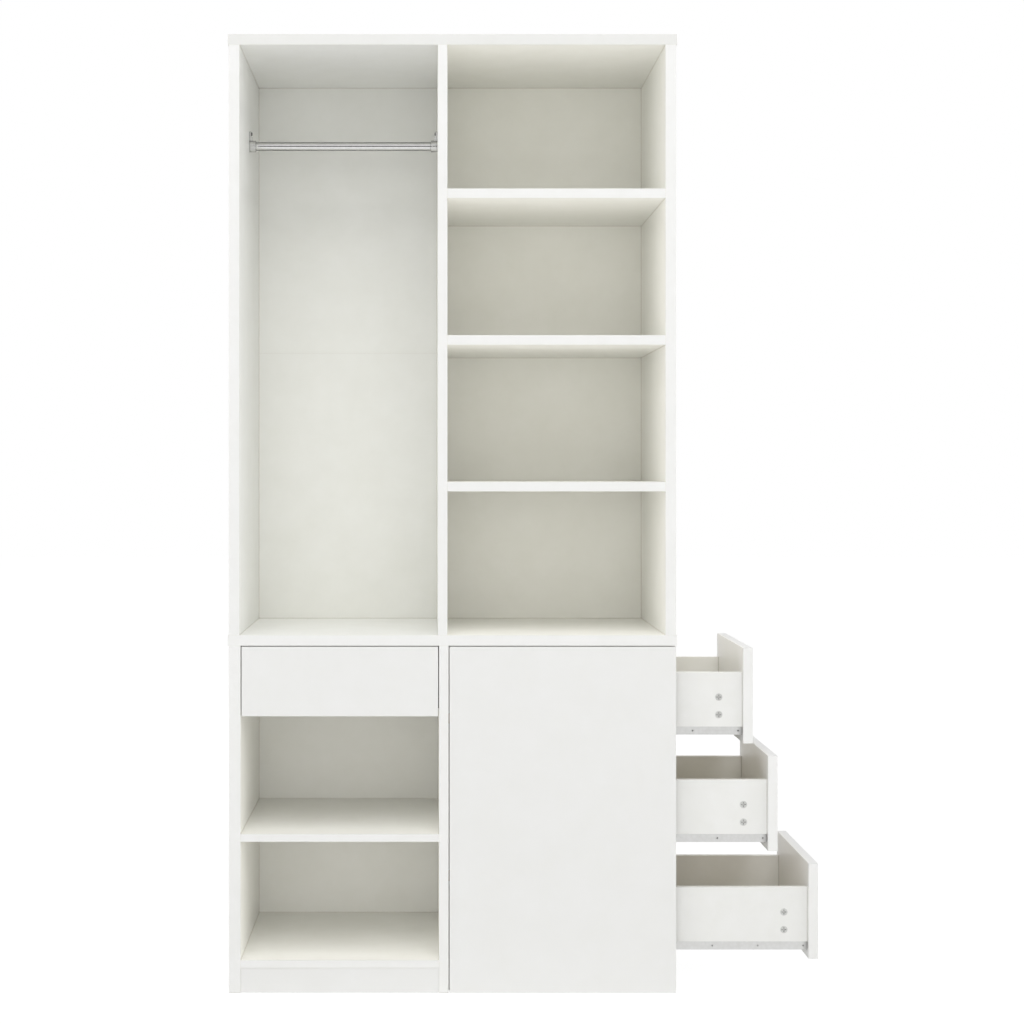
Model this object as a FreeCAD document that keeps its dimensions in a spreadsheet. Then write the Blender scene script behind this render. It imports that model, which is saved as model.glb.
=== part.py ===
import FreeCAD, Part
import os
import re
from collections import defaultdict

# Open-front wardrobe of two stacked cases. The left half hangs clothes over a drawer and two niches.
# The right half has shelves over a closed bay, whose three drawers open towards the right-hand end.
# X = 0 is the middle plane of the upper partition, Y = 0 the middle of the depth and Z = 0 the floor.
# The front faces -Y. Lengths are in millimetres.

SIZES = {
    # Cases
    "left_bay": 414,             # clear width left of the partitions
    "right_bay": 455,            # clear width right of the partitions
    "case_depth": 480,
    "lower_height": 724,         # floor to the underside of the middle board
    "upper_height": 1232,        # clear height of the upper case
    "case_board": 22,            # sides, top, middle board and the closed bay's front panel
    "inner_board": 20,           # partitions and the upper case's shelves
    "light_board": 16,           # niche shelf, floors, plinths, lower back and the bay's rear wall
    "edge_overhang": 2,          # top and middle board past the sides
    "lower_shift": 2.5,          # inner face of the lower left side, and lower partition, to the right
    "reveal": 2,                 # open joint round an inset front
    "plinth_height": 52,
    "plinth_setback": 1,
    "shelf_pitch": 306,          # between the middles of two shelves
    "niche_shelf_height": 315,   # floor to the underside of the niche shelf
    # Back panels
    "back_thickness": 5,
    "back_setback": 8,           # from the rear edge of the sides
    "back_groove": 6,            # depth of a panel's edge in the sides
    "groove_play": 0.2,
    "lower_back_setback": 20,
    # Closed bay
    "bay_floor_drop": 5,         # bay floor below the niche floor
    "bay_top_gap": 7,            # above the upper drawer's front
    "bay_wall_gap": 26,          # between the bay's rear wall and the lower back
    # Dowels and glue blocks
    "dowel_radius": 4,
    "dowel_length": 30,
    "dowel_bite": 12,            # depth in the board that is drilled through its face
    "dowel_inset": 60,           # from the front or rear edge of a joint
    "dowel_step": 32,            # shift of the dowels that share a board with others
    "dowel_play": 0.05,
    "dowel_end_gap": 1,
    "glue_block": 20,
    # Screws
    "screw_radius": 2,
    "screw_bite": 12,
    "screw_head_radius": 4,
    "screw_head_height": 2,
    "screw_play": 0.05,
    # Hanging rail
    "rail_drop": 174,            # top board's underside to the rail's axis
    "rail_radius": 9.5,
    "rail_wall": 1.2,
    "rail_play": 0.1,
    "rail_end_gap": 0.5,
    "socket_plate": 4,
    "socket_wall": 3,
    "socket_reach": 14,
    "socket_rise": 33,           # rail's axis to the top of the socket's plate
    "socket_crown": 6,           # radius of the plate's upper end
    "socket_root": 7,            # thickness of the plate just above the cup
    "socket_root_rise": 20,      # rail's axis to the top of that thick part
    # Drawers
    "front_thickness": 20,
    "finger_gap": 26,            # between two fronts of the bay, to pull them by
    "front_drawer_height": 145,
    "bay_drawer_side_drop": 52,  # front's upper edge to the sides' upper edge
    "front_drawer_side_drop": 24,
    "drawer_side_board": 15,
    "drawer_rise": 34,           # front's lower edge to the sides' lower edge
    "drawer_end_room": 57,       # behind a closed drawer of the bay
    "front_drawer_end_room": 24,
    "drawer_bottom": 5,
    "drawer_bottom_lift": 10,    # sides' lower edge to the bottom panel
    "drawer_groove": 6,
    "upper_drawer_open": 164,
    "middle_drawer_open": 216,
    "lower_drawer_open": 301,
    # Cam fittings
    "cam_radius": 7.5,
    "cam_depth": 11,
    "cam_inset": 50,             # from the back of the drawer's front
    "cam_height": 25,            # above the side's lower edge
    "cam_pitch": 37,
    "cam_play": 0.05,
    "cam_slot_length": 10,
    "cam_slot_width": 2.4,
    "cam_slot_depth": 2,
    "bolt_radius": 3,
    "bolt_bite": 11,             # depth in the drawer's front
    "bolt_head_gap": 1,
    # Runners
    "runner_room": 12.5,         # wall to drawer side
    "runner_height": 17,
    "runner_steel": 1.5,
    "runner_end_gap": 1.5,
    "channel_hole_radius": 1.8,
    "channel_hole_inset": 8,     # from either end of a channel
    "runner_plate_rise": 20,
    "runner_drop": 1,            # channel's lower edge to the case runner's flange
    "runner_screw_rise": 12,
    "runner_screw_inset": 40,
    "glide_length": 40,
    "glide_width": 8,
    "glide_height": 4,
    "glide_play": 0.3,
}

# Planes of the cases
PARTITION_LEFT = "(-inner_board / 2)"
PARTITION_RIGHT = "(inner_board / 2)"
LEFT_IN = "(-inner_board / 2 - left_bay)"
LEFT_OUT = "(-inner_board / 2 - left_bay - case_board)"
RIGHT_IN = "(inner_board / 2 + right_bay)"
RIGHT_OUT = "(inner_board / 2 + right_bay + case_board)"
FRONT = "(-case_depth / 2)"
REAR = "(case_depth / 2)"
BACK_REAR = "(case_depth / 2 - back_setback)"
BACK_FACE = "(case_depth / 2 - back_setback - back_thickness)"
LOWER_BACK_REAR = "(case_depth / 2 - lower_back_setback)"
LOWER_BACK_FACE = "(case_depth / 2 - lower_back_setback - light_board)"
PANEL_BACK = "(-case_depth / 2 + case_board)"
BAY_REAR = "(case_depth / 2 - lower_back_setback - 2 * light_board - bay_wall_gap)"
LOWER_LEFT_IN = "(lower_shift - inner_board / 2 - left_bay)"
NICHE_RIGHT = "(lower_shift - inner_board / 2)"
BAY_LEFT = "(lower_shift + inner_board / 2)"
BAY_FLOOR_LOW = "(plinth_height - bay_floor_drop)"
BAY_FLOOR_TOP = "(plinth_height - bay_floor_drop + light_board)"
MIDDLE_LOW = "lower_height"
MIDDLE_HIGH = "(lower_height + case_board)"
SEAM = "(lower_height + case_board + upper_height / 2)"
TOP_LOW = "(lower_height + case_board + upper_height)"
TOP_HIGH = "(lower_height + 2 * case_board + upper_height)"
RAIL_Y = "((-back_setback - back_thickness) / 2)"
RAIL_Z = "(lower_height + case_board + upper_height - rail_drop)"
UPRIGHTS = {
    "upper_left_side": f"({LEFT_IN} - case_board / 2)",
    "upper_partition": "0",
    "upper_right_side": f"({RIGHT_IN} + case_board / 2)",
}
SHELVES = {"upper_shelf": 1, "centre_shelf": 0, "lower_shelf": -1}
BAY_DRAWERS = ("lower_drawer", "middle_drawer", "upper_drawer")
CHANNEL_HOLES = 5
BAY_FRONT_HEIGHT = (
    f"((lower_height - bay_top_gap - {BAY_FLOOR_TOP} - reveal"
    f" - {len(BAY_DRAWERS) - 1} * finger_gap) / {len(BAY_DRAWERS)})"
)

ALIASES = re.compile(r"\b(" + "|".join(SIZES) + r")\b")
TURNS = {
    "x": FreeCAD.Rotation(FreeCAD.Vector(0, 1, 0), 90),
    "y": FreeCAD.Rotation(FreeCAD.Vector(1, 0, 0), -90),
    "z": FreeCAD.Rotation(),
}

doc = FreeCAD.newDocument("wardrobe")
sheet = doc.addObject("Spreadsheet::Sheet", "sizes")
for row, (alias, value) in enumerate(SIZES.items(), start=1):
    sheet.set(f"A{row}", alias)
    sheet.set(f"B{row}", str(value))
    sheet.setAlias(f"B{row}", alias)
doc.recompute()

sub_parts = []
bores = defaultdict(list)
dowels = []
runner_screws = []
glides = []


def formula(text):
    """Point each size that the text names at its cell."""
    return ALIASES.sub(r"sizes.\1", text)


def block(name, x, y, z):
    """A square block between two planes on each axis."""
    piece = doc.addObject("Part::Box", name)
    for size, axis, (low, high) in zip(("Length", "Width", "Height"), "xyz", (x, y, z)):
        piece.setExpression(size, formula(f"({high}) - ({low})"))
        piece.setExpression(f"Placement.Base.{axis}", formula(low))
    return piece


def rod(name, x, y, z, radius):
    """A round rod along the one axis that is given as a span."""
    piece = doc.addObject("Part::Cylinder", name)
    for axis, place in zip("xyz", (x, y, z)):
        start = place
        if isinstance(place, tuple):
            start, end = place
            piece.Placement = FreeCAD.Placement(FreeCAD.Vector(), TURNS[axis])
            piece.setExpression("Height", formula(f"({end}) - ({start})"))
        piece.setExpression(f"Placement.Base.{axis}", formula(start))
    piece.setExpression("Radius", formula(radius))
    return piece


def gather(name, pieces):
    """Separate solids kept together under one name."""
    group = doc.addObject("Part::Compound", name)
    group.Links = pieces
    return group


def fuse(name, pieces):
    """One solid of several that touch."""
    if len(pieces) == 1:
        return pieces[0]
    joined = doc.addObject("Part::MultiFuse", name)
    joined.Shapes = pieces
    joined.Refine = True
    return joined


def cut(name, base, tools):
    """The base with every tool taken out of it."""
    if not tools:
        return base
    piece = doc.addObject("Part::Cut", name)
    piece.Base = base
    piece.Tool = fuse(f"{name}_tools", tools)
    return piece


def keep(label, piece):
    """Hand a finished sub-part in under its own label."""
    piece.Label = label
    sub_parts.append(piece)


def board(label, x, y, z, cuts=()):
    """A board with its grooves and with the holes that the fasteners need in it."""
    keep(label, cut(f"{label}_drilled", block(f"{label}_blank", x, y, z), [*cuts, *bores[label]]))


def reach(wall, sign, near, far):
    """The span between two distances from a wall, to its plus or minus side."""
    if sign > 0:
        return (f"{wall} + ({near})", f"{wall} + ({far})")
    return (f"{wall} - ({far})", f"{wall} - ({near})")


def dowel(x, y, z, joins):
    """A dowel and its bore. One place is a joint plane and the side on which the end-drilled board lies."""
    name = f"dowel_{len(dowels) + 1}"
    far = "dowel_length - dowel_bite"
    pin = []
    hole = []
    for place in (x, y, z):
        if isinstance(place, tuple):
            plane, side = place
            pin.append(reach(plane, side, "-dowel_bite", far))
            hole.append(reach(plane, side, "-dowel_bite - dowel_end_gap", f"{far} + dowel_end_gap"))
        else:
            pin.append(place)
            hole.append(place)
    dowels.append(rod(name, *pin, "dowel_radius"))
    bore = rod(f"{name}_bore", *hole, "dowel_radius + dowel_play")
    for label in joins:
        bores[label].append(bore)


def screw(name, axis, wall, sign, cross, seat, joins):
    """A pan-head screw that holds a plate as thick as its seat on a wall."""
    def shaft(part, near, far, radius):
        places = {**cross, axis: reach(wall, sign, near, far)}
        return rod(f"{name}_{part}", places["x"], places["y"], places["z"], radius)

    head = shaft("head", seat, f"{seat} + screw_head_height", "screw_head_radius")
    shank = shaft("shank", "-screw_bite", seat, "screw_radius")
    bore = shaft("bore", "-screw_bite - screw_play", f"{seat} + screw_play", "screw_radius + screw_play")
    for label in joins:
        bores[label].append(bore)
    return fuse(name, [head, shank])


class Lane:
    """Where a drawer runs: its axis, the outer face of its front, the way in and the two walls beside it."""

    def __init__(self, axis, outer, inward, walls):
        self.axis = axis
        self.cross_axis = "y" if axis == "x" else "x"
        self.outer = outer
        self.inward = inward
        self.walls = walls

    def along(self, near, far):
        """The span between two distances behind the front's outer face."""
        return reach(self.outer, self.inward, near, far)

    def point(self, distance):
        """The place at one distance behind the front's outer face."""
        return self.along(distance, distance)[0]

    def across(self, wall, near, far):
        """The span between two distances from the first or second wall."""
        return reach(self.walls[wall], (1, -1)[wall], near, far)

    def places(self, along, across, z):
        """The three places in the order x, y, z."""
        return (along, across, z) if self.axis == "x" else (across, along, z)


def case_runners(name, lane, length, height, walls):
    """The fixed runners of one drawer, their glides and the screws that hold them on the walls."""
    rails = []
    middle = "(runner_room + drawer_side_board / 2)"
    flange_top = f"({height} - runner_drop)"
    flange_low = f"({height} - runner_drop - runner_steel)"
    glide_top = f"({height} + runner_height - runner_steel - glide_play)"
    start = "front_thickness + runner_end_gap"
    span = lane.along(start, f"front_thickness + {length}")
    for wall in (0, 1):
        rail = f"{name}_case_runner_{wall + 1}"
        blade = lane.across(wall, f"{middle} - runner_steel / 2", f"{middle} + runner_steel / 2")
        plate = lane.across(wall, "0", "runner_steel")
        flange = lane.across(wall, "0", f"{middle} + runner_steel / 2")
        folds = [
            block(f"{rail}_plate", *lane.places(span, plate, (flange_low, f"{height} + runner_plate_rise"))),
            block(f"{rail}_flange", *lane.places(span, flange, (flange_low, flange_top))),
            block(f"{rail}_blade", *lane.places(span, blade, (flange_low, f"{glide_top} - glide_height"))),
        ]
        for end, (near, far) in enumerate((
            (start, f"{start} + glide_length"),
            (f"front_thickness + {length} - glide_length", f"front_thickness + {length}"),
        )):
            cap = lane.across(wall, f"{middle} - glide_width / 2", f"{middle} + glide_width / 2")
            shape = lane.places(lane.along(near, far), cap, (f"{glide_top} - glide_height", glide_top))
            glides.append(block(f"{rail}_glide_{end + 1}", *shape))
        for end, distance in enumerate((
            "front_thickness + runner_screw_inset",
            f"front_thickness + {length} - runner_screw_inset",
        )):
            cross = {lane.axis: lane.point(distance), "z": f"{height} + runner_screw_rise"}
            runner_screws.append(screw(
                f"{rail}_screw_{end + 1}", lane.cross_axis, lane.walls[wall], (1, -1)[wall], cross,
                "runner_steel", (rail, walls[wall]),
            ))
        rails.append(cut(f"{rail}_drilled", fuse(rail, folds), bores[rail]))
    keep(f"{name}_case_runners", gather(f"{name}_case_runners", rails))


def cam_fitting(name, lane, wall, height, joins):
    """A cam in the drawer's side and the bolt that it draws out of the front, with their holes."""
    cam_middle = "(front_thickness + cam_inset)"
    side_middle = "runner_room + drawer_side_board / 2"
    bolt_place = lane.across(wall, side_middle, side_middle)[0]
    cam_place = lane.point(cam_middle)
    bolt_span = lane.along("front_thickness - bolt_bite", f"{cam_middle} - bolt_head_gap")
    bore_span = lane.along("front_thickness - bolt_bite - bolt_head_gap", cam_middle)
    cam_span = lane.across(wall, "runner_room", "runner_room + cam_depth")
    slot_span = lane.across(wall, "runner_room", "runner_room + cam_slot_depth")
    bolt = rod(f"{name}_bolt", *lane.places(bolt_span, bolt_place, height), "bolt_radius")
    bore = rod(f"{name}_bore", *lane.places(bore_span, bolt_place, height), "bolt_radius + cam_play")
    seat = rod(f"{name}_seat", *lane.places(cam_place, cam_span, height), "cam_radius + cam_play")
    blank = rod(f"{name}_blank", *lane.places(cam_place, cam_span, height), "cam_radius")
    slots = []
    for turn, (wide, high) in enumerate((
        ("cam_slot_length", "cam_slot_width"),
        ("cam_slot_width", "cam_slot_length"),
    )):
        slot_along = lane.along(f"{cam_middle} - {wide} / 2", f"{cam_middle} + {wide} / 2")
        slot_high = (f"{height} - {high} / 2", f"{height} + {high} / 2")
        slots.append(block(f"{name}_slot_{turn + 1}", *lane.places(slot_along, slot_span, slot_high)))
    front_label, side_label = joins
    bores[front_label].append(bore)
    bores[side_label].extend((bore, seat))
    return [cut(f"{name}_cam", blank, [bore, *slots]), bolt]


def channel_holes(label, lane, wall, length, height):
    """The row of holes in the outer web of a channel."""
    first = "(front_thickness + runner_end_gap + channel_hole_inset)"
    step = f"(({length} - runner_end_gap - 2 * channel_hole_inset) / {CHANNEL_HOLES - 1})"
    web = lane.across(wall, "runner_room - runner_steel", "runner_room + 1.5 * runner_steel")
    return [
        rod(
            f"{label}_channel_hole_{number + 1}",
            *lane.places(lane.point(f"{first} + {number} * {step}"), web, height),
            "channel_hole_radius",
        )
        for number in range(CHANNEL_HOLES)
    ]


def drawer(name, case_lane, lane, length, low, front_height, side_drop, walls):
    """One drawer: its front, sides, back, bottom, channels and cam fittings, and its runners in the case."""
    base = f"({low} + drawer_rise)"
    top = f"({low} + {front_height} - {side_drop})"
    bottom_low = f"({base} + drawer_bottom_lift)"
    bottom_high = f"({base} + drawer_bottom_lift + drawer_bottom)"
    inside = "(runner_room + drawer_side_board)"
    rear = f"(front_thickness + {length})"
    first_wall, second_wall = lane.walls
    labels = (f"{name}_left_side", f"{name}_right_side")
    fittings = []
    channels = []
    for wall, label in enumerate(labels):
        for row in (0, 1):
            height = f"({base} + cam_height + {row} * cam_pitch)"
            joins = (f"{name}_front", label)
            fittings += cam_fitting(f"{label}_fitting_{row + 1}", lane, wall, height, joins)
        span = lane.along("front_thickness", rear)
        groove = block(f"{label}_groove", *lane.places(
            span,
            lane.across(wall, f"{inside} - drawer_groove - groove_play", inside),
            (f"{bottom_low} - groove_play", f"{bottom_high} + groove_play"),
        ))
        board(label, *lane.places(span, lane.across(wall, "runner_room", inside), (base, top)), [groove])
        channel_span = lane.along("front_thickness + runner_end_gap", rear)
        channel_low = f"{base} - runner_height"
        outer = block(f"{label}_channel_blank", *lane.places(
            channel_span, lane.across(wall, "runner_room", inside), (channel_low, base),
        ))
        hollow = block(f"{label}_channel_hollow", *lane.places(
            channel_span,
            lane.across(wall, "runner_room + runner_steel", f"{inside} - runner_steel"),
            (channel_low, f"{base} - runner_steel"),
        ))
        holes = channel_holes(label, lane, wall, length, f"({base} - runner_height / 2)")
        channels.append(cut(f"{label}_channel", outer, [hollow, *holes]))
    board(f"{name}_front", *lane.places(
        lane.along("0", "front_thickness"),
        (f"{first_wall} + reveal", f"{second_wall} - reveal"),
        (low, f"{low} + {front_height}"),
    ))
    board(f"{name}_back", *lane.places(
        lane.along(f"{rear} - drawer_side_board", rear),
        (f"{first_wall} + {inside}", f"{second_wall} - {inside}"),
        (bottom_high, top),
    ))
    board(f"{name}_bottom", *lane.places(
        lane.along("front_thickness", rear),
        (f"{first_wall} + {inside} - drawer_groove", f"{second_wall} - {inside} + drawer_groove"),
        (bottom_low, bottom_high),
    ))
    keep(f"{name}_channels", gather(f"{name}_channels", channels))
    keep(f"{name}_cam_fittings", gather(f"{name}_cam_fittings", fittings))
    case_runners(name, case_lane, length, f"({base} - runner_height)", walls)


def rail_socket(label, wall, sign, side):
    """A cup on a narrow plate, screwed to a wall above the rail, that holds one end of the rail."""
    screw_z = f"({RAIL_Z} + socket_rise - socket_crown)"
    width = (f"{RAIL_Y} - socket_crown", f"{RAIL_Y} + socket_crown")
    plate = reach(wall, sign, "0", "socket_plate")
    root = reach(wall, sign, "0", "socket_root")
    cup = reach(wall, sign, "0", "socket_reach")
    hollow = reach(wall, sign, "socket_plate", "socket_reach + rail_play")
    held = screw(
        f"{label}_screw", "x", wall, sign, {"y": RAIL_Y, "z": screw_z}, "socket_plate", (label, side),
    )
    body = fuse(f"{label}_body", [
        block(f"{label}_plate", plate, width, (RAIL_Z, screw_z)),
        rod(f"{label}_crown", plate, RAIL_Y, screw_z, "socket_crown"),
        block(f"{label}_root", root, width, (RAIL_Z, f"{RAIL_Z} + socket_root_rise")),
        rod(f"{label}_cup", cup, RAIL_Y, RAIL_Z, "rail_radius + rail_play + socket_wall"),
    ])
    mouth = rod(f"{label}_mouth", hollow, RAIL_Y, RAIL_Z, "rail_radius + rail_play")
    keep(label, cut(f"{label}_drilled", body, [mouth, *bores[label]]))
    return held


def hanging_rail():
    """The tube between the two sockets."""
    span = (f"{LEFT_IN} + socket_plate + rail_end_gap", f"{PARTITION_LEFT} - socket_plate - rail_end_gap")
    tube = rod("hanging_rail_tube", span, RAIL_Y, RAIL_Z, "rail_radius")
    bore = rod("hanging_rail_bore", span, RAIL_Y, RAIL_Z, "rail_radius - rail_wall")
    keep("hanging_rail", cut("hanging_rail_hollow", tube, [bore]))


def case_dowels():
    """Every dowel that joins two boards of the cases."""
    upper_rows = (f"{FRONT} + dowel_inset", f"{BACK_FACE} - dowel_inset")
    lower_rows, floor_rows = (
        (
            f"{FRONT} + dowel_inset + {steps} * dowel_step",
            f"{LOWER_BACK_FACE} - dowel_inset - {steps} * dowel_step",
        )
        for steps in (1, 2)
    )
    lower_left = f"(({LEFT_OUT} + {LOWER_LEFT_IN}) / 2)"
    bay_floor_middle = f"({BAY_FLOOR_LOW} + light_board / 2)"
    rear_wall_middle = f"({BAY_REAR} + light_board / 2)"
    back_middle = f"({LOWER_BACK_REAR} - light_board / 2)"
    for y in upper_rows:
        for label, x in UPRIGHTS.items():
            dowel(x, y, (TOP_LOW, -1), ("top_board", label))
            dowel(x, y, (MIDDLE_HIGH, 1), ("middle_board", label))
        for label, step in SHELVES.items():
            z = f"({SEAM} + {step} * shelf_pitch)"
            dowel((PARTITION_RIGHT, 1), y, z, (label, "upper_partition"))
            dowel((RIGHT_IN, -1), y, z, (label, "upper_right_side"))
    for y in lower_rows:
        dowel(lower_left, y, (MIDDLE_LOW, -1), ("middle_board", "lower_left_side"))
        dowel("lower_shift", y, (MIDDLE_LOW, -1), ("middle_board", "lower_partition"))
        for label, low in (("niche_shelf", "niche_shelf_height"), ("niche_floor", "plinth_height")):
            z = f"({low} + light_board / 2)"
            dowel((LOWER_LEFT_IN, 1), y, z, (label, "lower_left_side"))
            dowel((NICHE_RIGHT, -1), y, z, (label, "lower_partition"))
    for y in floor_rows:
        dowel((BAY_LEFT, 1), y, bay_floor_middle, ("bay_floor", "lower_partition"))
    for x in (f"{BAY_LEFT} + dowel_inset", f"{RIGHT_OUT} - dowel_inset"):
        dowel(x, (PANEL_BACK, 1), bay_floor_middle, ("bay_floor", "bay_front_panel"))
        dowel(x, rear_wall_middle, (MIDDLE_LOW, -1), ("middle_board", "bay_rear_wall"))
        dowel(x, rear_wall_middle, (BAY_FLOOR_TOP, 1), ("bay_floor", "bay_rear_wall"))
    for x in (f"{LOWER_LEFT_IN} + dowel_inset", f"{RIGHT_OUT} - dowel_inset"):
        dowel(x, back_middle, (MIDDLE_LOW, -1), ("middle_board", "lower_back_board"))


def back_grooves(label, wall, sign):
    """The groove in a side that holds the edges of the upper case's back panels."""
    return block(
        f"{label}_groove",
        reach(wall, sign, "-back_groove - groove_play", "0"),
        (f"{BACK_FACE} - groove_play", f"{BACK_REAR} + groove_play"),
        (MIDDLE_HIGH, TOP_LOW),
    )


def upper_case():
    """The sides, partition, top, middle board, shelves and back panels of the upper case."""
    width = (f"{LEFT_OUT} - edge_overhang", f"{RIGHT_OUT} + edge_overhang")
    depth = (FRONT, REAR)
    to_back = (FRONT, BACK_FACE)
    height = (MIDDLE_HIGH, TOP_LOW)
    left_groove = back_grooves("upper_left_side", LEFT_IN, 1)
    right_groove = back_grooves("upper_right_side", RIGHT_IN, -1)
    board("top_board", width, depth, (TOP_LOW, TOP_HIGH))
    board("middle_board", width, depth, (MIDDLE_LOW, MIDDLE_HIGH))
    board("upper_left_side", (LEFT_OUT, LEFT_IN), depth, height, [left_groove])
    board("upper_right_side", (RIGHT_IN, RIGHT_OUT), depth, height, [right_groove])
    board("upper_partition", (PARTITION_LEFT, PARTITION_RIGHT), to_back, height)
    for label, step in SHELVES.items():
        middle = f"{SEAM} + {step} * shelf_pitch"
        thickness = (f"{middle} - inner_board / 2", f"{middle} + inner_board / 2")
        board(label, (PARTITION_RIGHT, RIGHT_IN), to_back, thickness)
    panel_width = (f"{LEFT_IN} - back_groove", f"{RIGHT_IN} + back_groove")
    board("upper_back_panel", panel_width, (BACK_FACE, BACK_REAR), (SEAM, TOP_LOW))
    board("centre_back_panel", panel_width, (BACK_FACE, BACK_REAR), (MIDDLE_HIGH, SEAM))


def lower_case():
    """The uprights, backs, floors, plinths, niche shelf, front panel and glue blocks of the lower case."""
    niche = (LOWER_LEFT_IN, NICHE_RIGHT)
    bay = (BAY_LEFT, RIGHT_OUT)
    bay_end = (f"{RIGHT_OUT} - light_board", RIGHT_OUT)
    to_back = (FRONT, LOWER_BACK_FACE)
    bay_depth = (PANEL_BACK, LOWER_BACK_FACE)
    height = ("0", MIDDLE_LOW)
    wall_height = (BAY_FLOOR_TOP, MIDDLE_LOW)
    plinth_front = f"{FRONT} + plinth_setback"
    board("lower_left_side", (LEFT_OUT, LOWER_LEFT_IN), (FRONT, REAR), height)
    board("lower_partition", (NICHE_RIGHT, BAY_LEFT), to_back, height)
    board("lower_back_board", (LOWER_LEFT_IN, RIGHT_OUT), (LOWER_BACK_FACE, LOWER_BACK_REAR), height)
    board("niche_shelf", niche, to_back, ("niche_shelf_height", "niche_shelf_height + light_board"))
    board("niche_floor", niche, to_back, ("plinth_height", "plinth_height + light_board"))
    board("niche_plinth", niche, (plinth_front, f"{plinth_front} + light_board"), ("0", "plinth_height"))
    panel_height = ("0", f"{MIDDLE_LOW} - reveal")
    board("bay_front_panel", (f"{BAY_LEFT} + reveal", RIGHT_OUT), (FRONT, PANEL_BACK), panel_height)
    board("bay_floor", bay, bay_depth, (BAY_FLOOR_LOW, BAY_FLOOR_TOP))
    under_bay_floor = ("0", BAY_FLOOR_LOW)
    behind_panel = (PANEL_BACK, f"{PANEL_BACK} + light_board")
    keep("bay_plinth", gather("bay_plinth", [
        block("bay_plinth_end", bay_end, bay_depth, under_bay_floor),
        block("bay_plinth_front", (BAY_LEFT, f"{RIGHT_OUT} - light_board"), behind_panel, under_bay_floor),
    ]))
    rear_wall =block("bay_rear_wall_blank", bay, (BAY_REAR, f"{BAY_REAR} + light_board"), wall_height)
    keep("bay_rear_wall", gather("bay_rear_wall", [
        cut("bay_rear_wall_drilled", rear_wall, bores["bay_rear_wall"]),
        block("bay_rear_wall_strip", bay_end, (f"{BAY_REAR} + light_board", LOWER_BACK_FACE), wall_height),
    ]))
    corner = (PANEL_BACK, f"{PANEL_BACK} + glue_block")
    blocks = []
    for share in (0.25, 0.75):
        low = f"{BAY_FLOOR_TOP} + {share} * ({MIDDLE_LOW} - {BAY_FLOOR_TOP})"
        left = f"{BAY_LEFT} + {share} * right_bay"
        upright = (BAY_LEFT, f"{BAY_LEFT} + glue_block")
        under_board = (f"{MIDDLE_LOW} - glue_block", MIDDLE_LOW)
        blocks.append(block("glue_block_upright", upright, corner, (low, f"{low} + glue_block")))
        blocks.append(block("glue_block_top", (left, f"{left} + glue_block"), corner, under_board))
    keep("glue_blocks", gather("glue_blocks", blocks))


def all_drawers():
    """The drawer over the niches and the three drawers of the bay, as far open as they stand."""
    bay_walls = (PANEL_BACK, BAY_REAR)
    bay_boards = ("bay_front_panel", "bay_rear_wall")
    bay_lane = Lane("x", RIGHT_OUT, -1, bay_walls)
    bay_length = "(right_bay + case_board - front_thickness - drawer_end_room)"
    for place, name in enumerate(BAY_DRAWERS):
        low = f"({BAY_FLOOR_TOP} + reveal + {place} * ({BAY_FRONT_HEIGHT} + finger_gap))"
        lane = Lane("x", f"({RIGHT_OUT} + {name}_open)", -1, bay_walls)
        drawer(name, bay_lane, lane, bay_length, low, BAY_FRONT_HEIGHT, "bay_drawer_side_drop", bay_boards)
    niche_lane = Lane("y", FRONT, 1, (LOWER_LEFT_IN, NICHE_RIGHT))
    niche_length = "(case_depth - lower_back_setback - light_board - front_thickness - front_drawer_end_room)"
    low = f"({MIDDLE_LOW} - reveal - front_drawer_height)"
    drawer(
        "front_drawer", niche_lane, niche_lane, niche_length, low,
        "front_drawer_height", "front_drawer_side_drop", ("lower_left_side", "lower_partition"),
    )


def check_and_write():
    """Stop on any failed object or bad shape, then write each sub-part's file."""
    doc.recompute()
    failed = [item.Name for item in doc.Objects if {"Invalid", "Error"} & set(item.State)]
    broken = [item.Label for item in sub_parts if item.Shape.isNull() or not item.Shape.isValid()]
    if failed or broken:
        raise RuntimeError(f"failed objects {failed}, broken shapes {broken}")
    os.makedirs("parts", exist_ok=True)
    for item in sub_parts:
        item.Shape.exportStep(f"parts/{item.Label}.step")
    print(f"{len(sub_parts)} sub-parts written")


hanging_rail()
socket_screws = [
    rail_socket("left_rail_socket", LEFT_IN, 1, "upper_left_side"),
    rail_socket("right_rail_socket", PARTITION_LEFT, -1, "upper_partition"),
]
all_drawers()
case_dowels()
upper_case()
lower_case()
keep("rail_socket_screws", gather("rail_socket_screws", socket_screws))
keep("runner_screws", gather("runner_screws", runner_screws))
keep("runner_glides", gather("runner_glides", glides))
keep("dowels", gather("dowels", dowels))
check_and_write()
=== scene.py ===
"""Looks of the open-front wardrobe: its finishes, edge bands, fixings, floor, light and camera."""

import logging
import math
from dataclasses import dataclass, field, replace
from enum import Enum
from typing import Any, Iterator, Optional, Sequence

import bmesh
import bpy
from mathutils import Matrix, Vector


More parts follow.
